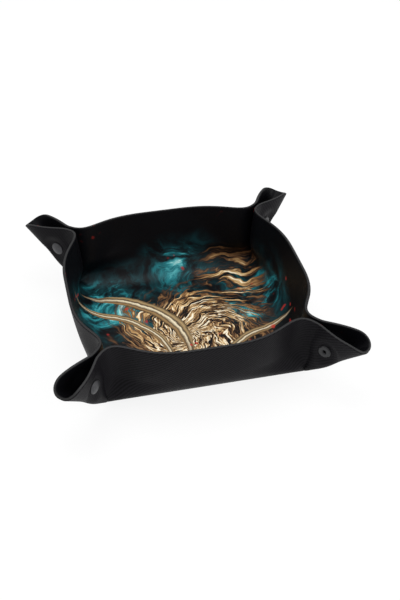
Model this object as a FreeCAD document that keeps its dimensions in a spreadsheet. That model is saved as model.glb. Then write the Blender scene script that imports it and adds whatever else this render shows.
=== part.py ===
"""Snap-corner dice tray.

A square leather sheet with a bonded lining, pinched at its four corners by press studs.
The layer line between leather and lining is the surface that every formula describes.
Each layer is divided at its bend lines: one base, four walls and eight ear halves.
A panel's place in its own chord plane is its place in the sheet laid flat, and its
curve stands off that plane, so the panels meet both when snapped up and when opened out.
"""
import FreeCAD, Part
import Sketcher
import os
from math import acos, asin, atan2, cos, degrees, exp, hypot, pi, radians, sin, sqrt, tan, tanh

Vector = FreeCAD.Vector

# Driving sizes in millimetres and degrees
SIZES = (
    ("leather_thickness", 1.2, "outer layer"),
    ("lining_thickness", 1.0, "inner layer"),
    ("sheet_half", 120.0, "centre to rim, laid flat"),
    ("corner_radius", 16.0, "rounding of the sheet's four corners"),
    ("base_half", 72.0, "centre to the fold at the foot of a wall"),
    ("fold_rise", 5.8, "height of that fold above the flat of the base"),
    ("fold_slope", 43.0, "steepness of the sheet at that fold"),
    ("wall_lean", 81.5, "wall's chord above level when snapped up"),
    ("wall_bulge", 7.5, "how far a wall's middle stands outside its chord"),
    ("bulge_fade_foot", 7.0, "distance over which the bulge dies out, at the foot"),
    ("bulge_fade_rim", 62.0, "the same at the rim"),
    ("neck_curl", 8.0, "reach of the inward curl beside the pinch"),
    ("curl_spread", 1.6, "share by which that reach is wider at the foot"),
    ("curl_rise", 12.0, "height above the foot at which that curl is full"),
    ("neck_half_gap", 2.1, "layer line to corner plane, at the rim end of the pinch"),
    ("ear_bulge", 20.2, "fullness of the ear's loop"),
    ("snap_from_pinch", 11.0, "stud centre to pinch fold, laid flat"),
    ("snap_from_rim", 20.0, "stud centre to rim, laid flat"),
    ("snap_half_gap", 2.6, "layer line to corner plane, at the stud"),
    ("seat_margin", 0.6, "flat seat outside the cap"),
    ("seat_lap", 0.03, "by which that seat runs into the sheet round it"),
    ("seat_fade", 5.0, "distance over which the seat joins the ear's curve"),
    ("panel_gap", 0.15, "edge to fold line"),
    ("fold_bevel", 1.15, "extra cut back of the leather at a wall's foot"),
    ("fold_mitre", 0.3, "extra cut back of the lining at a wall's foot"),
    ("leather_mitre", 0.35, "extra cut back of the leather's outer face at the pinch"),
    ("ear_mitre", 0.2, "extra cut back of an ear's lining at the pinch"),
    ("pinch_bevel", 1.1, "extra cut back of the lining at the pinch"),
    ("tip_trim", 1.4, "cut back of an ear half at the tip crease"),
    ("corner_relief", 8.0, "opening left round each corner of the base"),
    ("least_lining", 0.2, "lining where two walls press together"),
    ("touch_gap", 0.12, "lining to corner plane"),
    ("cap_diameter", 10.0, "press stud cap"),
    ("cap_height", 1.7, "dome above the leather"),
    ("cap_rim", 0.5, "height of the cap's straight edge"),
    ("ring_diameter", 9.6, "ring of the post"),
    ("ring_height", 1.1, "ring above the leather"),
    ("ring_round", 0.7, "slope of the ring's edges, inside and outside"),
    ("ring_hole", 2.4, "open centre of the post"),
    ("shank_diameter", 3.6, "cap's rivet shank through the sheet"),
    ("barrel_diameter", 2.9, "post's hollow barrel through the sheet"),
    ("shank_clearance", 0.1, "shank or barrel to its hole, each side"),
    ("curl_height", 0.3, "rolled end of a shank or barrel"),
    ("curl_reach", 0.3, "how far that end is rolled out"),
    ("socket_diameter", 9.0, "outside of the socket"),
    ("socket_round", 0.6, "slope of its face's edge"),
    ("socket_bore", 4.6, "mouth of the socket"),
    ("socket_lip", 0.5, "depth of that mouth"),
    ("socket_chamber", 5.6, "wider chamber behind the mouth"),
    ("socket_floor", 0.5, "plate of the socket on the lining"),
    ("face_gap", 0.25, "socket face to stud flange"),
    ("stud_diameter", 8.6, "flange of the stud"),
    ("stud_flange", 0.6, "thickness of that flange"),
    ("stud_head", 4.2, "widest part of the stud's head"),
    ("stud_neck", 3.9, "waist under the head"),
    ("stud_hollow", 3.4, "inside of the stud's head"),
    ("stud_reach", 1.6, "height of the head above the flange"),
    ("stud_round", 0.3, "slope of the head's edge"),
    ("stud_lip", 0.8, "height of the head's widest part"),
)

# Where a panel's curves are divided, as shares of its width or height. They crowd at the bends.
WALL_ACROSS = (-1, -0.95, -0.85, -0.7, -0.4, 0, 0.4, 0.7, 0.85, 0.95, 1)
WALL_UP = (0, 0.12, 0.3, 0.6, 1)
EAR_ACROSS = (0, 0.15, 0.35, 0.6, 0.85, 1)
EAR_OUT = (0, 0.25, 0.5, 0.75, 1)
DEGREE = 3

doc = FreeCAD.newDocument("SnapCornerTray")
sheet = doc.addObject("Spreadsheet::Sheet", "Sizes")
for row, (alias, value, meaning) in enumerate(SIZES, start=1):
    sheet.set("A%d" % row, alias)
    sheet.set("B%d" % row, str(value))
    sheet.set("C%d" % row, meaning)
    sheet.setAlias("B%d" % row, alias)
doc.recompute()


def size(alias):
    return float(sheet.get(alias))


# Values worked out from the driving sizes
LEATHER = size("leather_thickness")
LINING = size("lining_thickness")
BASE = size("base_half")
WALL = size("sheet_half") - BASE
RISE = size("fold_rise")
FOLD_Z = LEATHER + RISE
LEAN = radians(size("wall_lean"))
SLOPE = radians(size("fold_slope"))
GAP = size("panel_gap")
RELIEF = size("corner_relief")
SNAP_GAP = size("snap_half_gap")
SEAT = size("cap_diameter") / 2 + size("seat_margin")
SEAT_END = SEAT + size("seat_fade")

# The curve up from the flat base to the fold is an arc
ARC_RADIUS = RISE / (1 - cos(SLOPE))
ARC_RUN = ARC_RADIUS * sin(SLOPE)


def unit(v):
    return Vector(v).normalize()


# The pinch fold runs from the base's corner to the rim at this angle from the fold at the foot
SPLAY = size("neck_half_gap") / WALL
PINCH = atan2(cos(LEAN), 1) + acos(sqrt(2) * SPLAY / hypot(1, cos(LEAN)))
FLARE = tan(PINCH - pi / 2)
EAR = radians(135) - PINCH
PINCH_LENGTH = WALL / sin(PINCH)

CORNER = Vector(BASE, BASE, FOLD_Z)
CORNER_NORMAL = unit(Vector(1, -1, 0))
WALL_NORMAL = Vector(sin(LEAN), 0, -cos(LEAN))
PINCH_LINE = Vector(sin(PINCH) * cos(LEAN), -cos(PINCH), sin(PINCH) * sin(LEAN))

# The ear's tip crease lies in the corner plane, the angle EAR away from the pinch fold
level = (PINCH_LINE.x + PINCH_LINE.y) / sqrt(2)
TIP_RISE = atan2(PINCH_LINE.z, level) - acos(cos(EAR) / hypot(level, PINCH_LINE.z))
TIP_LINE = Vector(cos(TIP_RISE) / sqrt(2), cos(TIP_RISE) / sqrt(2), sin(TIP_RISE))
EAR_NORMAL = unit(TIP_LINE.cross(PINCH_LINE))
if EAR_NORMAL.dot(CORNER_NORMAL) < 0:
    EAR_NORMAL = -EAR_NORMAL
EAR_TURN = acos(WALL_NORMAL.dot(EAR_NORMAL))
EAR_SPLAY = asin(SPLAY / sin(EAR))

# The stud's centre in the flat sheet, measured from the base's corner
SNAP_UP = WALL - size("snap_from_rim")
SNAP_ALONG = SNAP_UP * FLARE + size("snap_from_pinch")


def smooth_step(x):
    x = min(max(x, 0.0), 1.0)
    return x * x * (3 - 2 * x)


def foot_curve(distance):
    """0 on the flat of the base, 1 at the fold, along an arc."""
    run = min(max(abs(distance) - (BASE - ARC_RUN), 0.0), ARC_RUN)
    return (ARC_RADIUS - sqrt(ARC_RADIUS ** 2 - run ** 2)) / RISE


def wall_point(along, up):
    """Layer line of the wall on the +X side, from its place in the flat sheet."""
    from_pinch = BASE + up * FLARE - abs(along)
    bulge = size("wall_bulge")
    rise = bulge * tanh(tan(LEAN - SLOPE) * up / bulge)
    foot, rim = size("bulge_fade_foot"), size("bulge_fade_rim")
    fade = foot + (rim - foot) * up / WALL
    rise *= sin(pi / 2 * min(max(from_pinch / fade, 0.0), 1.0)) ** 1.5
    reach = size("neck_curl") * (1 + size("curl_spread") * (1 - up / WALL))
    curl = tan(EAR_TURN + EAR_SPLAY - 0.02) * from_pinch * exp(-from_pinch / reach)
    curl *= smooth_step(up / size("curl_rise"))
    out = rise - curl
    return Vector(BASE + up * cos(LEAN) + out * sin(LEAN), along,
                  FOLD_Z + up * sin(LEAN) - out * cos(LEAN))


def ear_point(turn, reach):
    """Layer line of an ear half: angle from the pinch fold and distance from the base's corner.

    It is a loop that grows with the distance, drawn in to the stud's flat seat."""
    share = min(max(turn / EAR, 0.0), 1.0)
    chord = (PINCH_LINE * sin(EAR - turn) + TIP_LINE * sin(turn)) * (reach / sin(EAR))
    loop = size("ear_bulge") * share ** 1.5 * sqrt(1 - share)
    loop += tan(EAR_SPLAY) * PINCH_LENGTH * EAR * share * (1 - share) ** 4
    out = loop * reach / PINCH_LENGTH
    flat = PINCH - pi / 2 + turn
    off = hypot(reach * cos(flat) - SNAP_UP, reach * sin(flat) - SNAP_ALONG)
    seat = 1 - smooth_step((off - SEAT) / (SEAT_END - SEAT))
    seat_out = (SNAP_GAP - chord.dot(CORNER_NORMAL)) / EAR_NORMAL.dot(CORNER_NORMAL)
    out += (seat_out - out) * seat
    return CORNER + chord + EAR_NORMAL * out


def ear_reach(turn):
    """Distance from the base's corner to the edge of the sheet, round its corner."""
    flat = PINCH - pi / 2 + turn
    radius = min(size("corner_radius"), WALL * 0.8)
    centre = WALL - radius
    reach = WALL / cos(flat)
    if reach * sin(flat) > centre:
        half = centre * (cos(flat) + sin(flat))
        reach = half + sqrt(max(half ** 2 - 2 * centre ** 2 + radius ** 2, 0.0))
    return reach


def outward(point, a, b, step_a, step_b):
    """Unit normal of a surface function, to the left of its two directions."""
    da = point(a + step_a, b) - point(a - step_a, b)
    db = point(a, b + step_b) - point(a, b - step_b)
    return unit(da.cross(db))


def lining_depth(point, normal, side):
    """Lining thickness: it is pressed thinner where two walls meet at the corner plane."""
    gap = (point.x - side * point.y) / sqrt(2)
    closing = (normal.x - side * normal.y) / sqrt(2)
    if closing < 0.02:
        return LINING
    return max(size("least_lining"), min(LINING, gap / closing - size("touch_gap")))


def control_places(divisions):
    """Places of the control points, such that a straight line is drawn at an even pace."""
    row = [divisions[0]] * DEGREE + list(divisions) + [divisions[-1]] * DEGREE
    return [sum(row[k + 1:k + 1 + DEGREE]) / DEGREE for k in range(len(row) - DEGREE - 1)]


def face_over(grid, across, along):
    """Face drawn by a grid of control points, divided as across and along say."""
    def times(divisions):
        return [DEGREE + 1] + [1] * (len(divisions) - 2) + [DEGREE + 1]

    surface = Part.BSplineSurface()
    surface.buildFromPolesMultsKnots(grid, times(across), times(along), [float(k) for k in across],
                                     [float(k) for k in along], False, False, DEGREE, DEGREE)
    return surface.toShape()


def closed_solid(faces):
    shell = Part.Shell(faces)
    shell.sewShape()
    solid = Part.Solid(shell)
    if solid.Volume < 0:
        solid.reverse()
    return solid


def panel_solid(near, far, across, along):
    """Solid between two grids of control points, with ruled faces round its four edges."""
    low, high = face_over(near, across, along), face_over(far, across, along)
    one, two = low.Surface, high.Surface
    u0, u1, v0, v1 = one.bounds()
    edges = ((one.uIso(u0), two.uIso(u0)), (one.uIso(u1), two.uIso(u1)),
             (one.vIso(v0), two.vIso(v0)), (one.vIso(v1), two.vIso(v1)))
    rims = [Part.makeRuledSurface(a.toShape(), b.toShape()) for a, b in edges]
    return closed_solid([low, high] + rims)


def base_layer(leather):
    """A level plate with four upturned strips, mitred where they meet at the corners."""
    flat = BASE - ARC_RUN
    centre = Vector(flat, 0, LEATHER + ARC_RADIUS)
    sign, depth = (1, LEATHER) if leather else (-1, LINING)
    inner, outer = sorted((ARC_RADIUS, ARC_RADIUS + sign * depth))

    def spot(radius, turn):
        return centre + Vector(radius * sin(turn), 0, -radius * cos(turn))

    def arc(radius, low, high):
        return Part.Arc(spot(radius, low), spot(radius, (low + high) / 2), spot(radius, high)).toShape()

    # The leather ends upright, so that the wall's foot can turn past it
    near_end = asin((BASE - GAP - flat) / ARC_RADIUS)
    if leather:
        far_end = asin((BASE - GAP - flat) / (ARC_RADIUS + depth))
    else:
        far_end = near_end - size("fold_mitre") / ARC_RADIUS
    inner_end, outer_end = (near_end, far_end) if leather else (far_end, near_end)
    outline = [arc(inner, 0, inner_end),
               Part.makeLine(spot(inner, inner_end), spot(outer, outer_end)),
               arc(outer, 0, outer_end),
               Part.makeLine(spot(outer, 0), spot(inner, 0))]
    profile = Part.Face(Part.Wire(Part.__sortEdges__(outline)))
    profile.translate(Vector(0, -BASE, 0))
    strip = profile.extrude(Vector(0, 2 * BASE, 0))
    wedge = Part.Face(Part.makePolygon([Vector(0, 0, 0), Vector(BASE, -BASE, 0), Vector(BASE, BASE, 0),
                                        Vector(0, 0, 0)])).extrude(Vector(0, 0, 4 * FOLD_Z))
    strip = strip.common(wedge)
    low = min(LEATHER, LEATHER - sign * depth)
    plate = Part.makeBox(2 * flat, 2 * flat, depth, Vector(-flat, -flat, low))
    turned = []
    for quarter in range(4):
        copy = strip.copy()
        copy.rotate(Vector(0, 0, 0), Vector(0, 0, 1), 90 * quarter)
        turned.append(copy)
    return plate.multiFuse(turned).removeSplitter().Solids[0]


def wall_grid(foot, ends, leather, off):
    """Grid of a wall, leaving that much free at its foot and at its two ends."""
    rows = []
    for share in control_places(WALL_ACROSS):
        row = []
        for part in control_places(WALL_UP):
            up = foot + (WALL - foot) * part
            relief = RELIEF * max(0.0, 1 - up / RELIEF) ** 2
            along = share * (BASE + up * FLARE - ends - relief)
            point = wall_point(along, up)
            if off:
                normal = outward(wall_point, along, up, 0.02, 0.02)
                side = 1 if along > 0 else -1
                point += normal * (LEATHER if leather else -lining_depth(point, normal, side))
            row.append(point)
        rows.append(row)
    return rows


def wall_layer(leather):
    near = wall_grid(GAP, GAP, leather, False)
    if leather:
        far = wall_grid(GAP + size("fold_bevel"), GAP + size("leather_mitre"), True, True)
    else:
        far = wall_grid(GAP + size("fold_mitre"), GAP + size("pinch_bevel"), False, True)
    return panel_solid(near, far, WALL_ACROSS, WALL_UP)


def ear_grid(side, pinch, leather, off):
    """Grid of an ear half. side is 1 at the wall's right end, seen from outside, or -1."""
    rows = []
    for share in control_places(EAR_ACROSS):
        row = []
        for part in control_places(EAR_OUT):
            turn = share * EAR
            for again in range(3):
                reach = RELIEF + part * (ear_reach(turn) - RELIEF)
                low, high = asin(pinch / reach), EAR - asin(size("tip_trim") / reach)
                turn = low + share * (high - low)
            point = ear_point(turn, reach)
            if off:
                normal = outward(ear_point, turn, reach, 0.002, 0.02)
                point += normal * (LEATHER if leather else -lining_depth(point, normal, 1))
            row.append(Vector(point.x, side * point.y, point.z))
        rows.append(row)
    return rows


def ear_layer(side, leather):
    """Ear half with the round seat, flat under the cap or the ring, and the stud's hole."""
    near = ear_grid(side, GAP, leather, False)
    far = ear_grid(side, GAP + size("leather_mitre" if leather else "ear_mitre"), leather, True)
    solid = panel_solid(near, far, EAR_ACROSS, EAR_OUT)
    centre, axis = snap_seat(side)
    depth = LEATHER if leather else -LINING
    shank = "shank_diameter" if side < 0 else "barrel_diameter"
    reach = size(shank) / 2 + size("shank_clearance")

    def plug(radius, low, high):
        return Part.makeCylinder(radius, high - low, centre + axis * low, axis)

    solid = solid.cut(plug(SEAT - size("seat_lap"), -2 * SNAP_GAP, 2 * SNAP_GAP))
    solid = solid.fuse(plug(SEAT, min(depth, 0), max(depth, 0)))
    return solid.cut(plug(reach, -2 * SNAP_GAP, 2 * SNAP_GAP)).Solids[0]


def snap_seat(side):
    """Centre of the stud on the layer line, and the outward direction of its axis."""
    flat = atan2(SNAP_ALONG, SNAP_UP)
    point = ear_point(flat - (PINCH - pi / 2), hypot(SNAP_UP, SNAP_ALONG))
    point += CORNER_NORMAL * (SNAP_GAP - (point - CORNER).dot(CORNER_NORMAL))
    return (Vector(point.x, side * point.y, point.z),
            Vector(CORNER_NORMAL.x, side * CORNER_NORMAL.y, 0))


def terms(*pairs):
    """A length as a sum of shares of named sizes."""
    return pairs


def half(alias):
    return terms((0.5, alias))


def value_of(length):
    return sum(share * size(alias) for share, alias in length)


def expression_of(length):
    return " + ".join("(%s) * Sizes.%s" % (share, alias) for share, alias in length)


def lathe_body(label, corners, domed):
    """Body turned about its Z axis from a closed outline of radius and height pairs.

    The last corner of a domed body is the top of a dome, whose centre is on the axis."""
    body = doc.addObject("PartDesign::Body", label)
    body.Label = label
    sketch = body.newObject("Sketcher::SketchObject", label + "_outline")
    plane = [f for f in body.Origin.OriginFeatures if f.Role == "XZ_Plane"][0]
    sketch.AttachmentSupport = [(plane, "")]
    sketch.MapMode = "FlatFace"
    spots = [Vector(value_of(x), value_of(y), 0) for x, y in corners]
    count = len(spots)
    for k in range(count):
        start, stop = spots[k], spots[(k + 1) % count]
        if domed and k == count - 2:
            rise = stop.y - start.y
            radius = (start.x ** 2 + rise ** 2) / (2 * rise)
            centre = Vector(0, stop.y - radius, 0)
            turn = atan2(start.y - centre.y, start.x)
            sketch.addGeometry(Part.ArcOfCircle(Part.Circle(centre, Vector(0, 0, 1), radius), turn, pi / 2))
        else:
            sketch.addGeometry(Part.LineSegment(start, stop))
    for k in range(count):
        sketch.addConstraint(Sketcher.Constraint("Coincident", k, 2, (k + 1) % count, 1))
    for k, (x, y) in enumerate(corners):
        for kind, length, axis in (("DistanceX", x, -2), ("DistanceY", y, -1)):
            if length:
                index = sketch.addConstraint(Sketcher.Constraint(kind, -1, 1, k, 1, value_of(length)))
                sketch.setExpression("Constraints[%d]" % index, expression_of(length))
            else:
                sketch.addConstraint(Sketcher.Constraint("PointOnObject", k, 1, axis))
    if domed:
        sketch.addConstraint(Sketcher.Constraint("PointOnObject", count - 2, 3, -2))
    turned = body.newObject("PartDesign::Revolution", label + "_turned")
    turned.Profile = sketch
    turned.ReferenceAxis = (sketch, ["V_Axis"])
    turned.Angle = 360
    body.Tip = turned
    return body


# Lengths of the press studs, each a sum of shares of the driving sizes. Each piece has its
# outline, and whether its top is a dome.
NONE = ()
SHEET = terms((1, "leather_thickness"), (1, "lining_thickness"))
CURL = terms((1, "curl_height"))
CAP_SEAT = CURL + terms((1, "socket_floor")) + SHEET
RING_SEAT = CURL + terms((1, "stud_flange")) + SHEET
RING_TOP = RING_SEAT + terms((1, "ring_height"))
SOCKET_FACE = terms((2, "snap_half_gap"), (-2, "lining_thickness"), (-1, "stud_flange"), (-1, "face_gap"))
STUD_TOP = terms((1, "stud_flange"), (1, "stud_reach"))

PRESS_STUD = {
    "cap": (
        ((NONE, NONE),
         (half("shank_diameter") + terms((1, "curl_reach")), NONE),
         (half("shank_diameter") + terms((1, "curl_reach")), CURL),
         (half("shank_diameter"), CURL),
         (half("shank_diameter"), CAP_SEAT),
         (half("cap_diameter"), CAP_SEAT),
         (half("cap_diameter"), CAP_SEAT + terms((1, "cap_rim"))),
         (NONE, CAP_SEAT + terms((1, "cap_height")))),
        True),
    "post": (
        ((half("ring_hole"), NONE),
         (half("barrel_diameter") + terms((0.5, "curl_reach")), NONE),
         (half("barrel_diameter") + terms((0.5, "curl_reach")), CURL),
         (half("barrel_diameter"), CURL),
         (half("barrel_diameter"), RING_SEAT),
         (half("ring_diameter"), RING_SEAT),
         (half("ring_diameter"), RING_TOP + terms((-1, "ring_round"))),
         (half("ring_diameter") + terms((-1, "ring_round")), RING_TOP),
         (half("ring_hole") + terms((1, "ring_round")), RING_TOP),
         (half("ring_hole"), RING_TOP + terms((-1, "ring_round")))),
        False),
    "socket": (
        ((half("shank_diameter") + terms((1, "shank_clearance")), NONE),
         (half("socket_diameter"), NONE),
         (half("socket_diameter"), SOCKET_FACE + terms((-1, "socket_round"))),
         (half("socket_diameter") + terms((-1, "socket_round")), SOCKET_FACE),
         (half("socket_bore"), SOCKET_FACE),
         (half("socket_bore"), SOCKET_FACE + terms((-1, "socket_lip"))),
         (half("socket_chamber"), SOCKET_FACE + terms((-1, "socket_lip"))),
         (half("socket_chamber"), terms((1, "socket_floor"))),
         (half("shank_diameter") + terms((1, "shank_clearance")), terms((1, "socket_floor")))),
        False),
    "stud": (
        ((half("barrel_diameter") + terms((0.5, "shank_clearance")), NONE),
         (half("stud_diameter"), NONE),
         (half("stud_diameter"), terms((1, "stud_flange"))),
         (half("stud_neck"), terms((1, "stud_flange"))),
         (half("stud_neck"), STUD_TOP + terms((-1, "stud_lip"))),
         (half("stud_head"), STUD_TOP + terms((-1, "stud_lip"), (0.5, "stud_head"), (-0.5, "stud_neck"))),
         (half("stud_head"), STUD_TOP + terms((-1, "stud_round"))),
         (half("stud_head") + terms((-1, "stud_round")), STUD_TOP),
         (half("stud_hollow"), STUD_TOP),
         (half("stud_hollow"), terms((1, "stud_flange"))),
         (half("barrel_diameter") + terms((0.5, "shank_clearance")), terms((1, "stud_flange")))),
        False),
}


def stud_place(kind, side):
    """Placement of one piece of a press stud on the ear of the wall on the +X side."""
    centre, axis = snap_seat(side)
    if kind in ("cap", "post"):
        seat = value_of(CAP_SEAT if kind == "cap" else RING_SEAT)
        return FreeCAD.Placement(centre + axis * (LEATHER - seat), FreeCAD.Rotation(Vector(0, 0, 1), axis))
    return FreeCAD.Placement(centre - axis * LINING, FreeCAD.Rotation(Vector(0, 0, 1), -axis))


def add_panel(label, shape, place):
    piece = doc.addObject("Part::Feature", label)
    piece.Label = label
    piece.Shape = shape
    piece.Placement = place
    return piece


# Seen from outside, each wall has a cap at its left end and a post at its right end
WALLS = (("right", 0), ("back", 90), ("left", 180), ("front", 270))
EARS = (("left", -1, ("cap", "socket")), ("right", 1, ("post", "stud")))
LAYERS = (("leather", True), ("lining", False))

pieces = []
still = FreeCAD.Placement()
for layer, is_leather in LAYERS:
    pieces.append(add_panel("base_" + layer, base_layer(is_leather), still))
    wall_shape = wall_layer(is_leather)
    ear_shapes = {side: ear_layer(side, is_leather) for end, side, kinds in EARS}
    for wall, angle in WALLS:
        place = FreeCAD.Placement(Vector(0, 0, 0), FreeCAD.Rotation(Vector(0, 0, 1), angle))
        pieces.append(add_panel("%s_wall_%s" % (wall, layer), wall_shape, place))
        for end, side, kinds in EARS:
            pieces.append(add_panel("%s_wall_%s_ear_%s" % (wall, end, layer), ear_shapes[side], place))
for wall, angle in WALLS:
    place = FreeCAD.Placement(Vector(0, 0, 0), FreeCAD.Rotation(Vector(0, 0, 1), angle))
    for end, side, kinds in EARS:
        for kind in kinds:
            corners, domed = PRESS_STUD[kind]
            body = lathe_body("%s_wall_snap_%s" % (wall, kind), corners, domed)
            body.Placement = place.multiply(stud_place(kind, side))
            pieces.append(body)
doc.recompute()

for item in doc.Objects:
    if "Invalid" in item.State or "Error" in item.State:
        raise RuntimeError("%s failed: %s" % (item.Name, item.State))
os.makedirs("parts", exist_ok=True)
for piece in pieces:
    if piece.Shape.isNull() or not piece.Shape.isValid() or not piece.Shape.Solids:
        raise RuntimeError("%s has no valid solid" % piece.Label)
    piece.Shape.exportStep("parts/%s.step" % piece.Label)

print("pieces", len(pieces), "fold height", round(FOLD_Z, 3))
print("pinch line", [round(c, 5) for c in PINCH_LINE], "tip line", [round(c, 5) for c in TIP_LINE])
print("wall turn", round(degrees(LEAN), 3), "ear turn", round(degrees(EAR_TURN), 3))
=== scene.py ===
"""Looks of the snap-corner dice tray: its bent sheets, press studs, lining design and studio."""
from math import (acos, asin, atan, atan2, copysign, cos, exp, hypot, pi, radians, sin, sqrt,
                  tan, tanh)

import bpy
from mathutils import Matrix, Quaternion, Vector


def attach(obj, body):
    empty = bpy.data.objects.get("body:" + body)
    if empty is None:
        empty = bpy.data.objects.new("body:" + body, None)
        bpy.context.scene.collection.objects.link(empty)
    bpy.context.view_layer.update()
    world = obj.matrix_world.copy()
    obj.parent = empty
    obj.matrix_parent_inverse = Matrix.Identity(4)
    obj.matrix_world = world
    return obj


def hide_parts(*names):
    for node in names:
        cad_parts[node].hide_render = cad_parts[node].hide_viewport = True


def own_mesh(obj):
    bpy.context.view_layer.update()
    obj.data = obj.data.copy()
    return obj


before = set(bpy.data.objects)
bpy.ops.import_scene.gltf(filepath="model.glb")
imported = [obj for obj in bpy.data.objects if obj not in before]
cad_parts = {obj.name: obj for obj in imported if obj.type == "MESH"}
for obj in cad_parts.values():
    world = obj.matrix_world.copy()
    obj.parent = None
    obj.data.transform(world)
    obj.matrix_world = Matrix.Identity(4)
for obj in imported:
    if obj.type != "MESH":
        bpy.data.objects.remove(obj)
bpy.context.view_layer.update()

MM = 0.001

# Sizes that the visible sheets share with the solids, in millimetres. Every formula gives
# the layer line, the surface between leather and lining
LEATHER = 1.2
LINING = 1.0
BASE = 72.0                          # middle of the tray to the fold at a wall's foot
WALL = 120.0 - BASE                  # that fold to the rim, laid flat
RISE = 5.8                           # height of that fold above the flat of the base
FOLD_Z = LEATHER + RISE
SLOPE = radians(43)                  # steepness of the sheet at that fold
LEAN = radians(81.5)                 # a wall's chord above level
WALL_BULGE = 7.5                     # a wall's middle outside its chord
FADE_FOOT, FADE_RIM = 7.0, 62.0      # distance from the pinch over which the bulge grows
BULGE_ROUND = 1.5                    # how gently it grows
NECK_GAP = 2.1                       # layer line to corner plane, at the rim end of the pinch
SPLAY_END = 4                        # how soon an ear turns from that splay into its loop
SNAP_GAP = 2.6                       # layer line to corner plane, at the press stud
SNAP_FROM_PINCH, SNAP_FROM_RIM = 11.0, 20.0
SHANK_HOLE, BARREL_HOLE = 1.8, 1.45  # radius of the cap's shank and of the ring's barrel

# Softer corners, fitted to the photograph's outline. The solids have plainer ones
CORNER_RADIUS = 19.0                 # rounding of the flat sheet's corners
NECK_CURL = 16.5                     # reach of a wall's inward curl beside the pinch
CURL_SPREAD = 0.2                    # share by which that reach is wider at the foot
CURL_RISE = 18.4                     # height above the foot at which the curl is full
CURL_ROUND = 1.5                     # how gently the curl dies out along the wall
EAR_BULGE = 20.0                     # fullness of an ear's loop
LOOP_START, LOOP_END = 0.15, 0.44    # how the loop opens at the pinch and closes at the tip
LOOP_WIDEN = 0.9                     # how it grows from the base's corner to the rim
FOOT_BELLY = 13.4                    # reach of the fullness at the foot of the neck
BELLY_END = 0.45                     # how that fullness closes at the tip
SEAT, SEAT_END = 5.4, 14.0           # flat seat round the stud, and where the loop takes over
SWELL, SWELL_REACH = 1.7, 11.6       # swelling below each ear, and its width
SWELL_PLACE = 18.9                   # its middle, from the base's corner along the tip crease
SWELL_WAY = Vector((0.45, 0.45, -0.77))

# How the panels are divided and finished
BASE_CELLS = 120
WALL_COLUMNS, WALL_ROWS = 150, 44
EAR_COLUMNS, EAR_ROWS = 44, 52
EAR_START = 0.4                      # an ear's first row, from the base's corner
END_CROWDING = 0.85                  # how far a wall's columns crowd towards its ends
RIM_ROWS = (0.45, 0.2, 0.06, 0.0)    # last four rows, from the rim
RIM_SHARES = (0.93, 0.8, 0.62)       # thickness left at the last three, where the edge is rounded
EDGE_BEVEL, EDGE_ANGLE = 0.05, radians(50)
HOLE_ROOM = 0.3                      # sheet's hole wider than what goes through it
PUNCH_DEPTH = 2.0
SHEET = 2 * (BASE + WALL)

# The corner's directions, for the wall on the +X side and its ear towards +Y
ARC_RADIUS = RISE / (1 - cos(SLOPE))
ARC_RUN = ARC_RADIUS * sin(SLOPE)
SPLAY = NECK_GAP / WALL
PINCH = atan2(cos(LEAN), 1) + acos(sqrt(2) * SPLAY / hypot(1, cos(LEAN)))
FLARE = tan(PINCH - pi / 2)
EAR = radians(135) - PINCH
PINCH_LENGTH = WALL / sin(PINCH)
CORNER = Vector((BASE, BASE, FOLD_Z))
CORNER_NORMAL = Vector((1, -1, 0)).normalized()
WALL_NORMAL = Vector((sin(LEAN), 0, -cos(LEAN)))
PINCH_LINE = Vector((sin(PINCH) * cos(LEAN), -cos(PINCH), sin(PINCH) * sin(LEAN)))
PINCH_LEVEL = (PINCH_LINE.x + PINCH_LINE.y) / sqrt(2)
TIP_RISE = atan2(PINCH_LINE.z, PINCH_LEVEL) - acos(cos(EAR) / hypot(PINCH_LEVEL, PINCH_LINE.z))
TIP_LINE = Vector((cos(TIP_RISE) / sqrt(2), cos(TIP_RISE) / sqrt(2), sin(TIP_RISE)))
EAR_NORMAL = TIP_LINE.cross(PINCH_LINE).normalized()
if EAR_NORMAL.dot(CORNER_NORMAL) < 0:
    EAR_NORMAL = -EAR_NORMAL
EAR_TURN = acos(WALL_NORMAL.dot(EAR_NORMAL))
EAR_SPLAY = asin(SPLAY / sin(EAR))
NECK_TURN = EAR_TURN + 2 * EAR_SPLAY
SNAP_UP = WALL - SNAP_FROM_RIM
SNAP_ALONG = SNAP_UP * FLARE + SNAP_FROM_PINCH
SNAP_TURN = atan2(SNAP_ALONG, SNAP_UP) - (PINCH - pi / 2)
SNAP_REACH = hypot(SNAP_UP, SNAP_ALONG)

# Each wall with its quarter turns from the +X side. Seen from outside, it has a cap at its
# left end and a ring at its right end
WALLS = (("right", 0), ("back", 1), ("left", 2), ("front", 3))
EARS = (("left", -1, SHANK_HOLE), ("right", 1, BARREL_HOLE))

# Each layer with its thickness, and 1 or -1 for outside or inside the layer line
LAYERS = (("leather", LEATHER, 1), ("lining", LINING, -1))


# The shape of the folded sheet
def clamp(x):
    return min(max(x, 0.0), 1.0)


def smooth_step(x):
    x = clamp(x)
    return x * x * (3 - 2 * x)


def swollen(point):
    """The folded sheet swells out and down below each ear."""
    x, y = copysign(1, point.x), copysign(1, point.y)
    first_corner = Vector((abs(point.x), abs(point.y), point.z))
    away = (first_corner - CORNER - TIP_LINE * SWELL_PLACE).length
    push = SWELL_WAY * (SWELL * exp(-(away / SWELL_REACH) ** 2))
    return point + Vector((push.x * x, push.y * y, push.z))


def foot_curve(distance):
    """0 on the flat of the base, 1 at the fold, along an arc."""
    run = min(max(abs(distance) - (BASE - ARC_RUN), 0.0), ARC_RUN)
    return (ARC_RADIUS - sqrt(ARC_RADIUS ** 2 - run ** 2)) / RISE


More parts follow.
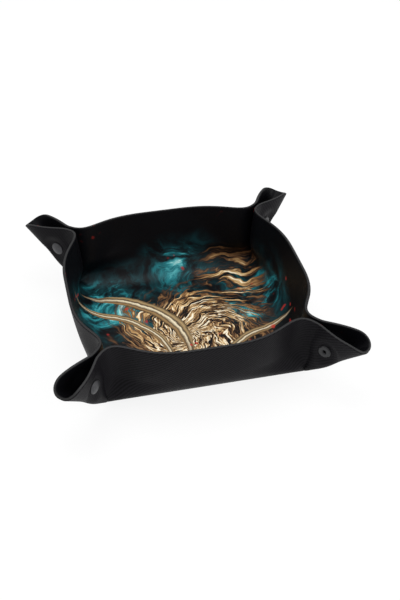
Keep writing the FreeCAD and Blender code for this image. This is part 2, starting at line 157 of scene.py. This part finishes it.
def base_point(x, y):
    """Layer line of the base, with its upturned curves rounded into each other at a corner."""
    a, b = 1 - foot_curve(x), 1 - foot_curve(y)
    if min(a, b) < 1e-6:
        low = 0.0
    else:
        low = 1 / (1 + sqrt((1 / a - 1) ** 2 + (1 / b - 1) ** 2))
    return swollen(Vector((x, y, LEATHER + RISE * (1 - low))))


def wall_point(along, up):
    """Layer line of the wall on the +X side, from its place in the flat sheet."""
    from_pinch = BASE + up * FLARE - abs(along)
    bulge = WALL_BULGE * tanh(tan(LEAN - SLOPE) * up / WALL_BULGE)
    fade = FADE_FOOT + (FADE_RIM - FADE_FOOT) * up / WALL
    bulge *= sin(pi / 2 * clamp(from_pinch / fade)) ** BULGE_ROUND
    reach = NECK_CURL * (1 + CURL_SPREAD * (1 - up / WALL))
    curl = tan(NECK_TURN) * from_pinch * exp(-(max(from_pinch, 0.0) / reach) ** CURL_ROUND)
    curl *= smooth_step(up / CURL_RISE)
    out = bulge - curl
    return swollen(Vector((BASE + up * cos(LEAN) + out * sin(LEAN), along,
                           FOLD_Z + up * sin(LEAN) - out * cos(LEAN))))


def ear_spot(turn, reach):
    """Place in the flat sheet, up from the wall's fold and along it from the base's corner."""
    flat = PINCH - pi / 2 + turn
    return reach * cos(flat), reach * sin(flat)


def ear_point(turn, reach):
    """Layer line of an ear half: angle from the pinch fold, distance from the base's corner."""
    share = clamp(turn / EAR)
    chord = (PINCH_LINE * sin(EAR - turn) + TIP_LINE * sin(turn)) * (reach / sin(EAR))
    out = EAR_BULGE * share ** 2 / (share + LOOP_START) * (1 - share) ** LOOP_END
    out *= (reach / PINCH_LENGTH) ** LOOP_WIDEN
    out += tan(EAR_SPLAY) * EAR * share * (1 - share) ** SPLAY_END * reach
    missing = NECK_TURN - atan(tan(NECK_TURN) * smooth_step(reach / CURL_RISE))
    from_pinch = reach * sin(turn)
    out += tan(missing) * from_pinch * exp(-from_pinch / FOOT_BELLY) * (1 - share) ** BELLY_END
    up, along = ear_spot(turn, reach)
    from_snap = hypot(up - SNAP_UP, along - SNAP_ALONG)
    seat = 1 - smooth_step((from_snap - SEAT) / (SEAT_END - SEAT))
    seat_out = (SNAP_GAP - chord.dot(CORNER_NORMAL)) / EAR_NORMAL.dot(CORNER_NORMAL)
    out += (seat_out - out) * seat
    return swollen(CORNER + chord + EAR_NORMAL * out)


def ear_reach(turn):
    """Distance from the base's corner to the edge of the sheet, round its corner."""
    up, along = ear_spot(turn, 1)
    centre = WALL - CORNER_RADIUS
    reach = WALL / up
    if reach * along > centre:
        half = centre * (up + along)
        reach = half + sqrt(max(half ** 2 - 2 * centre ** 2 + CORNER_RADIUS ** 2, 0.0))
    return reach


def turned(point, quarters, side=1):
    """A point of the wall on the +X side, mirrored to its other end and turned to its own wall."""
    x, y = point.x, point.y * side
    for _ in range(quarters):
        x, y = -y, x
    return Vector((x, y, point.z))


# Where the rows and columns of each panel lie
def crowd_ends(t):
    """0 to 1, closer together towards both ends."""
    return t - END_CROWDING * sin(2 * pi * t) / (2 * pi)


def crowd_rim(t, rows):
    """0 to 1 over the rows of a panel, with the last four close to the rim."""
    row, first = round(t * rows), rows - 3
    if row < first:
        return row / first * (1 - RIM_ROWS[0] / WALL)
    return 1 - RIM_ROWS[row - first] / WALL


def rim_share(t, rows):
    """Share of the thickness left near the rim."""
    row, first = round(t * rows), rows - 2
    return RIM_SHARES[row - first] if row >= first else 1.0


def base_place(s, t):
    x, y = (2 * s - 1) * BASE, (2 * t - 1) * BASE
    return base_point(x, y), (x, y), 1.0


def wall_place(quarters):
    def place(s, t):
        up = WALL * crowd_rim(t, WALL_ROWS)
        along = (2 * crowd_ends(s) - 1) * (BASE + up * FLARE)
        spot = turned(Vector((BASE + up, along, 0)), quarters)
        return turned(wall_point(along, up), quarters), spot.xy, rim_share(t, WALL_ROWS)
    return place


def ear_place(quarters, side):
    def place(s, t):
        turn = EAR * (1 - (1 - s) ** 2)
        reach = max(ear_reach(turn) * crowd_rim(t, EAR_ROWS), EAR_START)
        up, along = ear_spot(turn, reach)
        spot = turned(Vector((BASE + up, BASE + along, 0)), quarters, side)
        point = turned(ear_point(turn, reach), quarters, side)
        return point, spot.xy, rim_share(t, EAR_ROWS)
    return place


# Making the panels
def sheet_panel(name, columns, rows, place, mirrored=False):
    """Panel of one sheet, made from a grid. place gives each point, where it is in the flat
    sheet, and the share of the thickness there."""
    bpy.ops.object.select_all(action="DESELECT")
    bpy.ops.mesh.primitive_grid_add(x_subdivisions=columns, y_subdivisions=rows, size=2,
                                    calc_uvs=True)
    piece = bpy.context.object
    piece.name = name
    mesh = piece.data
    spots, shares = [], []
    for vertex in mesh.vertices:
        point, spot, share = place((vertex.co.x + 1) / 2, (vertex.co.y + 1) / 2)
        vertex.co = point * MM
        spots.append(spot)
        shares.append(share)
    uv = mesh.uv_layers[0]
    uv.name = "Sheet"
    for loop in mesh.loops:
        x, y = spots[loop.vertex_index]
        uv.data[loop.index].uv = (0.5 + x / SHEET, 0.5 + y / SHEET)
    thickness = piece.vertex_groups.new(name="thickness")
    for index, share in enumerate(shares):
        thickness.add([index], share, "REPLACE")
    if mirrored:
        mesh.flip_normals()
    mesh.shade_smooth()
    return piece


def punch_hole(piece, centre, axis, radius):
    """Opens a stud's hole in a panel that has no thickness yet."""
    bpy.ops.object.select_all(action="DESELECT")
    bpy.context.view_layer.objects.active = piece
    bpy.ops.object.mode_set(mode="EDIT")
    bpy.ops.mesh.select_all(action="DESELECT")
    bpy.ops.object.mode_set(mode="OBJECT")
    for polygon in piece.data.polygons:
        off = polygon.center - centre
        beside = (off - axis * off.dot(axis)).length
        polygon.select = beside < radius and abs(off.dot(axis)) < PUNCH_DEPTH * MM
    bpy.ops.object.mode_set(mode="EDIT")
    bpy.ops.mesh.delete(type="FACE")
    bpy.ops.object.mode_set(mode="OBJECT")


def finish_panel(piece, node, body, layer):
    """Gives a panel its thickness, its looks and its body, and hides the CAD node that it stands
    for."""
    kind, depth, outward = layer
    wall = piece.modifiers.new("Thickness", "SOLIDIFY")
    wall.thickness = depth * MM
    wall.offset = outward
    wall.vertex_group = "thickness"
    wall.thickness_vertex_group = 0.0
    wall.material_offset_rim = 1
    edge = piece.modifiers.new("Edge", "BEVEL")
    edge.width = EDGE_BEVEL * MM
    edge.segments = 1
    edge.limit_method = "ANGLE"
    edge.angle_limit = EDGE_ANGLE
    edge.harden_normals = True
    piece.data.materials.append(LEATHER_LOOK if kind == "leather" else LINING_LOOK)
    piece.data.materials.append(EDGE_LOOK)
    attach(piece, body)
    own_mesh(piece)
    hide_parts(node)


def make_base(layer):
    """The base's panel of one layer."""
    kind = layer[0]
    piece = sheet_panel("Base_" + kind, BASE_CELLS, BASE_CELLS, base_place, mirrored=True)
    finish_panel(piece, "base_" + kind, "base", layer)


def make_wall(layer, wall, quarters):
    """A wall's panel of one layer."""
    name, kind = wall + "_wall", layer[0]
    piece = sheet_panel("%s_%s_sheet" % (name, kind), WALL_COLUMNS, WALL_ROWS,
                        wall_place(quarters))
    finish_panel(piece, "%s_%s" % (name, kind), name, layer)


def make_ear(layer, wall, quarters, end, side, hole):
    """An ear half's panel of one layer, with the hole of its press stud."""
    name, kind = "%s_wall_%s_ear" % (wall, end), layer[0]
    piece = sheet_panel("%s_%s_sheet" % (name, kind), EAR_COLUMNS, EAR_ROWS,
                        ear_place(quarters, side), mirrored=side < 0)
    seat = turned(ear_point(SNAP_TURN, SNAP_REACH), quarters, side)
    punch_hole(piece, seat * MM, turned(CORNER_NORMAL, quarters, side), (hole + HOLE_ROOM) * MM)
    finish_panel(piece, "%s_%s" % (name, kind), name, layer)


# Materials. A sheet's pattern follows its place in the flat sheet, and places and sizes on
# it are shares of the sheet's width
RIB_TURN = radians(-57)
RIB_SCALE, GRAIN_SCALE = 38, 240
LEATHER_TONES = ((0.3, (0.0008, 0.0008, 0.001)), (1.2, (0.0085, 0.0078, 0.0098)))

# Middle, radius and soft edge of each patch of teal mist, from the middle of the lining
MIST = (
    ((-0.20, 0.14), 0.12, 0.10),
    ((0.24, 0.10), 0.12, 0.09),
    ((0.03, -0.28), 0.10, 0.09),
    ((0.05, 0.27), 0.09, 0.09),
    ((-0.26, -0.16), 0.10, 0.09),
)
MIST_TONES = (
    (0.0, (0.0022, 0.0022, 0.0032)), (0.2, (0.006, 0.040, 0.048)), (0.42, (0.018, 0.20, 0.23)),
    (0.62, (0.10, 0.46, 0.48)), (0.82, (0.74, 0.92, 0.86)),
)

# The gold whirl: its middle, how tightly it winds, and a second gold patch beside it
WHIRL, WINDING = (0.02, -0.04), 1.7
SIDE_PATCH = ((0.22, 0.22), 0.10, 0.09)
GOLD_TONES = (
    (0.0, (0.008, 0.005, 0.004)), (0.2, (0.055, 0.026, 0.014)), (0.42, (0.22, 0.11, 0.045)),
    (0.65, (0.58, 0.36, 0.15)), (0.85, (0.86, 0.68, 0.40)), (1.0, (0.97, 0.90, 0.72)),
)

# Centre, radius, half width, direction and opening of each pale crescent
CRESCENTS = (
    ((-0.30, -0.10), 0.30, 0.024, radians(38), 0.55),
    ((-0.36, -0.16), 0.30, 0.015, radians(44), 0.60),
    ((0.30, -0.30), 0.24, 0.015, radians(125), 0.60),
)
CRESCENT_TONES = (
    (0.0, (0.02, 0.012, 0.007)), (0.2, (0.34, 0.21, 0.09)), (0.32, (0.10, 0.06, 0.03)),
    (0.5, (0.92, 0.80, 0.56)), (0.6, (0.05, 0.03, 0.018)), (0.78, (0.42, 0.29, 0.14)),
    (1.0, (0.03, 0.018, 0.01)),
)
CRESCENT_ENDS = (0.10, 0.055, 0.025, 1)
FLECK_RED = (0.50, 0.03, 0.022, 1)


def material(name, roughness, colour=(0.02, 0.02, 0.02, 1), metallic=0.0, specular=0.5):
    made = bpy.data.materials.new(name)
    made.use_nodes = True
    shader = made.node_tree.nodes["Principled BSDF"]
    shader.inputs["Base Color"].default_value = colour
    shader.inputs["Roughness"].default_value = roughness
    shader.inputs["Metallic"].default_value = metallic
    shader.inputs["Specular IOR Level"].default_value = specular
    return made, shader


class Nodes:
    """Short calls for the nodes of one material."""

    def __init__(self, made):
        self.tree = made.node_tree

    def add(self, kind, **settings):
        node = self.tree.nodes.new(kind)
        for key, value in settings.items():
            setattr(node, key, value)
        return node

    def join(self, out, into):
        """Links an output to a socket, or sets the socket to a plain value."""
        if hasattr(out, "links"):
            self.tree.links.new(out, into)
        else:
            into.default_value = out

    def math(self, operation, a, b=None, c=None):
        node = self.add("ShaderNodeMath", operation=operation)
        for value, socket in zip((a, b, c), node.inputs):
            if value is not None:
                self.join(value, socket)
        return node.outputs[0]

    def inverse(self, value):
        return self.math("SUBTRACT", 1.0, value)

    def vector(self, operation, a, b=None, scale=None):
        node = self.add("ShaderNodeVectorMath", operation=operation)
        self.join(a, node.inputs[0])
        if b is not None:
            self.join(b, node.inputs[1])
        if scale is not None:
            self.join(scale, node.inputs["Scale"])
        plain = operation in ("LENGTH", "DISTANCE", "DOT_PRODUCT")
        return node.outputs["Value" if plain else "Vector"]

    def placed(self, source, scale=(1, 1, 1), turn=0.0, move=(0, 0, 0)):
        node = self.add("ShaderNodeMapping")
        self.join(source, node.inputs["Vector"])
        node.inputs["Scale"].default_value = scale
        node.inputs["Rotation"].default_value = (0, 0, turn)
        node.inputs["Location"].default_value = move
        return node.outputs[0]

    def noise(self, place, scale, detail=4.0, rough=0.55, warp=0.0):
        node = self.add("ShaderNodeTexNoise")
        self.join(place, node.inputs["Vector"])
        node.inputs["Scale"].default_value = scale
        node.inputs["Detail"].default_value = detail
        node.inputs["Roughness"].default_value = rough
        node.inputs["Distortion"].default_value = warp
        return node

    def span(self, value, low, high):
        """0 below low, 1 above high, smooth between."""
        node = self.add("ShaderNodeMapRange", interpolation_type="SMOOTHSTEP")
        self.join(value, node.inputs["Value"])
        node.inputs["From Min"].default_value = low
        node.inputs["From Max"].default_value = high
        return node.outputs["Result"]

    def ramp(self, factor, stops):
        node = self.add("ShaderNodeValToRGB")
        bar = node.color_ramp.elements
        while len(bar) < len(stops):
            bar.new(0.5)
        for element, (place, colour) in zip(bar, stops):
            element.position = place
            element.color = (*colour, 1)
        self.join(factor, node.inputs[0])
        return node.outputs[0]

    def mix(self, factor, below, above):
        node = self.add("ShaderNodeMix", data_type="RGBA", blend_type="MIX")
        self.join(factor, node.inputs["Factor"])
        self.join(below, node.inputs["A"])
        self.join(above, node.inputs["B"])
        return node.outputs["Result"]

    def relief(self, height, strength, distance, shader):
        """Raises the surface of a shader by a height, in metres."""
        bump = self.add("ShaderNodeBump")
        bump.inputs["Strength"].default_value = strength
        bump.inputs["Distance"].default_value = distance
        self.join(height, bump.inputs["Height"])
        self.join(bump.outputs[0], shader.inputs["Normal"])


def sheet_map(nodes):
    return nodes.add("ShaderNodeUVMap", uv_map="Sheet").outputs[0]


def leather_material():
    """Black cross-grain leather look: fine slanting ribs broken up by a short grain."""
    made, shader = material("Black cross grain", 0.5, (0.012, 0.0115, 0.0145, 1),
                            specular=0.07)
    nodes = Nodes(made)
    place = sheet_map(nodes)
    ribs = nodes.add("ShaderNodeTexWave", wave_type="BANDS", bands_direction="X",
                     wave_profile="SIN")
    nodes.join(nodes.placed(place, turn=RIB_TURN), ribs.inputs["Vector"])
    ribs.inputs["Scale"].default_value = RIB_SCALE
    ribs.inputs["Distortion"].default_value = 1.2
    ribs.inputs["Detail"].default_value = 2
    ribs.inputs["Detail Scale"].default_value = 3.0
    stretched = nodes.placed(place, scale=(1, 3, 1), turn=RIB_TURN)
    grain = nodes.noise(stretched, GRAIN_SCALE, 3, 0.6).outputs[0]
    height = nodes.math("MULTIPLY_ADD", grain, 0.9,
                        nodes.math("MULTIPLY", ribs.outputs["Fac"], 0.65))
    nodes.relief(height, 0.6, 0.00016, shader)
    nodes.join(nodes.ramp(height, LEATHER_TONES), shader.inputs["Base Color"])
    return made


def lining_material():
    """Dark print of a generic design: gold marbled whirl, teal mist, pale crescents, red flecks."""
    made, shader = material("Printed lining", 0.42, specular=0.11)
    nodes = Nodes(made)
    place = nodes.placed(sheet_map(nodes), move=(-0.5, -0.5, 0))
    drift = nodes.noise(place, 3.4, 4, 0.55)
    shift = nodes.vector("SUBTRACT", drift.outputs["Color"], (0.5, 0.5, 0.5))
    warped = nodes.vector("ADD", place, nodes.vector("SCALE", shift, scale=0.22))
    bent = nodes.vector("ADD", place, nodes.vector("SCALE", shift, scale=0.05))
    grain = nodes.noise(place, 46, 5, 0.7).outputs[0]

    def glow(spot, radius, soft):
        """1 within a round patch, fading over its soft edge."""
        away = nodes.vector("DISTANCE", warped, (*spot, 0))
        return nodes.inverse(nodes.span(away, radius - soft, radius + soft))

    def whirl(around, along):
        """Place on the whirl's spiral, stretched along its arms, and distance from its middle."""
        away = nodes.vector("SUBTRACT", warped, (*WHIRL, 0))
        parts = nodes.add("ShaderNodeSeparateXYZ")
        nodes.join(away, parts.inputs[0])
        distance = nodes.vector("LENGTH", away)
        reach = nodes.math("LOGARITHM", nodes.math("ADD", distance, 0.02), 2.718)
        angle = nodes.math("ARCTAN2", parts.outputs[1], parts.outputs[0])
        angle = nodes.math("MULTIPLY_ADD", reach, WINDING, angle)
        spiral = nodes.add("ShaderNodeCombineXYZ")
        for socket, operation in zip(spiral.inputs, ("COSINE", "SINE")):
            nodes.join(nodes.math("MULTIPLY", nodes.math(operation, angle), around), socket)
        nodes.join(nodes.math("MULTIPLY", reach, along), spiral.inputs[2])
        return spiral.outputs[0], distance

    def veins(spot, scale, warp, width):
        """Thin lines where a noise field crosses its middle."""
        field = nodes.noise(spot, scale, 2, 0.4, warp)
        off = nodes.math("ABSOLUTE", nodes.math("SUBTRACT", field.outputs[0], 0.5))
        return nodes.inverse(nodes.span(off, 0.0, width))

    def misted():
        """Teal mist in patches round the middle, over near black."""
        mist = nodes.noise(warped, 8, 8, 0.65, 1.2).outputs[0]
        patches = 0.0
        for patch in MIST:
            patches = nodes.math("MAXIMUM", patches, glow(*patch))
        teal = nodes.math("MULTIPLY", nodes.span(mist, 0.38, 0.72), patches)
        return nodes.ramp(teal, MIST_TONES)

    def gilded(colour):
        """Broad bronze arms with bright edges, and fine scrolls among them."""
        arms, distance = whirl(2.6, 1.5)
        broad = nodes.noise(arms, 1.5, 4, 0.5, 1.6).outputs[0]
        beside = nodes.noise(nodes.vector("ADD", arms, (0.05, 0.04, 0.06)), 1.5, 4, 0.5, 1.6)
        slope = nodes.math("SUBTRACT", broad, beside.outputs[0])
        raised = nodes.math("MULTIPLY_ADD", slope, 5.0, 0.40)
        body = nodes.span(broad, 0.40, 0.52)
        rims = veins(arms, 1.5, 1.6, 0.03)
        scrolls = nodes.math("MULTIPLY", veins(whirl(6.0, 3.2)[0], 0.9, 3.0, 0.07), 0.8)
        middle = nodes.inverse(nodes.span(distance, 0.10, 0.33))
        band = nodes.math("MAXIMUM", middle, nodes.math("MULTIPLY", glow(*SIDE_PATCH), 0.8))
        lines = nodes.math("MAXIMUM", rims, scrolls)
        gold = nodes.math("MULTIPLY_ADD", lines, 0.38, nodes.math("MULTIPLY", body, raised))
        gold = nodes.math("MULTIPLY", gold, nodes.math("MULTIPLY_ADD", grain, 0.7, 0.65))
        gold = nodes.math("MULTIPLY", gold, band)
        return nodes.mix(nodes.span(gold, 0.04, 0.30), colour, nodes.ramp(gold, GOLD_TONES))

    def with_crescent(colour, spot, radius, width, turn, opening):
        """A pale engraved crescent that opens to one side."""
        away = nodes.vector("SUBTRACT", bent, (*spot, 0))
        facing = nodes.vector("DOT_PRODUCT", nodes.vector("NORMALIZE", away),
                              (cos(turn), sin(turn), 0))
        shown = nodes.math("GREATER_THAN", facing, opening + 0.02)
        half = nodes.math("MULTIPLY", nodes.span(facing, opening, 1.0), width)
        off = nodes.math("SUBTRACT", nodes.vector("LENGTH", away), radius)
        past = nodes.math("SUBTRACT", nodes.math("ABSOLUTE", off), half)
        inside = nodes.inverse(nodes.span(past, -0.001, 0.001))
        across = nodes.math("MULTIPLY_ADD", off, 0.5 / width, 0.5)
        uneven = nodes.math("SUBTRACT", grain, 0.5)
        across = nodes.math("MULTIPLY_ADD", uneven, 0.25, across)
        tone = nodes.mix(nodes.span(facing, opening, 0.96), CRESCENT_ENDS,
                         nodes.ramp(across, CRESCENT_TONES))
        return nodes.mix(nodes.math("MULTIPLY", inside, shown), colour, tone)

    def flecked(colour):
        cells = nodes.add("ShaderNodeTexVoronoi")
        nodes.join(warped, cells.inputs["Vector"])
        cells.inputs["Scale"].default_value = 24
        spots = nodes.inverse(nodes.span(cells.outputs["Distance"], 0.10, 0.22))
        drifts = nodes.span(nodes.noise(place, 4.5, 2).outputs[0], 0.53, 0.60)
        fleck = nodes.math("MULTIPLY", spots, drifts)
        return nodes.mix(nodes.math("MULTIPLY", fleck, 0.8), colour, FLECK_RED)

    colour = gilded(misted())
    for crescent in CRESCENTS:
        colour = with_crescent(colour, *crescent)
    nodes.join(flecked(colour), shader.inputs["Base Color"])
    nodes.relief(nodes.noise(place, 520, 2).outputs[0], 0.25, 0.0001, shader)
    return made


def worn_material(name, roughness, colour, spots_per_metre, metallic=0.0, specular=0.5):
    """A dark finish whose tone and gloss vary in small spots, as handling leaves it."""
    made, shader = material(name, roughness, (*colour, 1), metallic, specular)
    nodes = Nodes(made)
    place = nodes.add("ShaderNodeTexCoord").outputs["Object"]
    spots = nodes.noise(place, spots_per_metre, 4, 0.6).outputs[0]
    tones = [(stop, tuple(share * part for part in colour))
             for stop, share in ((0.35, 0.8), (0.65, 1.2))]
    nodes.join(nodes.ramp(spots, tones), shader.inputs["Base Color"])
    gloss = nodes.math("MULTIPLY_ADD", spots, 0.3, roughness - 0.15)
    nodes.join(gloss, shader.inputs["Roughness"])
    nodes.relief(spots, 0.3, 0.00003, shader)
    return made


LEATHER_LOOK = leather_material()
LINING_LOOK = lining_material()
EDGE_LOOK = worn_material("Cut edge", 0.55, (0.018, 0.018, 0.0185), 1500, specular=0.2)
CAP_LOOK = worn_material("Dark grey cap", 0.4, (0.05, 0.05, 0.054), 700, metallic=0.55)
RING_LOOK = worn_material("Black ring", 0.38, (0.018, 0.018, 0.02), 700, metallic=0.3)
STUD_LOOKS = {"cap": CAP_LOOK, "post": RING_LOOK, "socket": RING_LOOK, "stud": RING_LOOK}

# The tray
for layer in LAYERS:
    make_base(layer)
    for wall, quarters in WALLS:
        make_wall(layer, wall, quarters)
        for ear in EARS:
            make_ear(layer, wall, quarters, *ear)

for wall, _ in WALLS:
    for part, look in STUD_LOOKS.items():
        for slot in bpy.data.objects["%s_wall_snap_%s" % (wall, part)].material_slots:
            slot.material = look

# The studio, whose floor is seen nearly white with a faint shadow. Lamps have their name,
# width, power and place
FLOOR_SIZE, FLOOR_COLOUR, FLOOR_GLOW = 8, (0.93, 0.93, 0.93, 1), 0.86
ROOM_LIGHT = 0.75
LAMPS = (
    ("Overhead softbox", 0.9, 7.0, (-0.1, 0.15, 1.1)),
    ("Front fill", 0.7, 5.0, (0.9, -0.75, 0.5)),
)
LAMP_AIM = Vector((0, 0, 0.02))

# The camera stands where the photograph's edges put it
AZIMUTH, ELEVATION, ROLL = radians(-13.3), radians(37.97), radians(0.21)
DISTANCE, CAMERA_AIM = 0.7528, Vector((0.0133, 0.0074, 0.020))
FOCAL_PIXELS, TALL_PIXELS, SENSOR = 985.5, 600, 36


def pale_floor():
    """A plain floor that glows only towards the camera and in what mirrors it."""
    bpy.ops.mesh.primitive_plane_add(size=FLOOR_SIZE, location=(0, 0, 0))
    floor = bpy.context.object
    floor.name = "Floor"
    made, shader = material("Pale floor", 0.9, FLOOR_COLOUR, specular=0.1)
    nodes = Nodes(made)
    paths = nodes.add("ShaderNodeLightPath").outputs
    reflected = nodes.math("ADD", paths["Is Glossy Ray"], paths["Is Transmission Ray"])
    seen = nodes.math("MINIMUM", nodes.math("ADD", paths["Is Camera Ray"], reflected), 1.0)
    blend = nodes.add("ShaderNodeMixShader")
    nodes.join(nodes.math("MULTIPLY", seen, FLOOR_GLOW), blend.inputs[0])
    nodes.join(shader.outputs[0], blend.inputs[1])
    nodes.join(nodes.add("ShaderNodeEmission").outputs[0], blend.inputs[2])
    nodes.join(blend.outputs[0], made.node_tree.nodes["Material Output"].inputs["Surface"])
    floor.data.materials.append(made)


def room_light():
    world = bpy.data.worlds.new("Studio")
    bpy.context.scene.world = world
    world.use_nodes = True
    background = world.node_tree.nodes["Background"]
    background.inputs["Color"].default_value = (1, 1, 1, 1)
    background.inputs["Strength"].default_value = ROOM_LIGHT


def soft_light(name, size, power, place):
    bpy.ops.object.light_add(type="AREA", location=place)
    lamp = bpy.context.object
    lamp.name = name
    lamp.data.shape = "DISK"
    lamp.data.size = size
    lamp.data.energy = power
    lamp.rotation_mode = "QUATERNION"
    lamp.rotation_quaternion = (Vector(place) - LAMP_AIM).to_track_quat("Z", "Y")


def photo_camera():
    back = Vector((sin(AZIMUTH) * cos(ELEVATION), -cos(AZIMUTH) * cos(ELEVATION),
                   sin(ELEVATION)))
    bpy.ops.object.camera_add(location=CAMERA_AIM + back * DISTANCE)
    camera = bpy.context.object
    camera.rotation_mode = "QUATERNION"
    camera.rotation_quaternion = back.to_track_quat("Z", "Y") @ Quaternion((0, 0, 1), ROLL)
    camera.data.sensor_width = SENSOR
    camera.data.sensor_fit = "AUTO"
    camera.data.lens = FOCAL_PIXELS * SENSOR / TALL_PIXELS
    camera.data.clip_start = 0.01
    bpy.context.scene.camera = camera


pale_floor()
room_light()
for lamp in LAMPS:
    soft_light(*lamp)
photo_camera()
bpy.context.scene.view_settings.view_transform = "Standard"
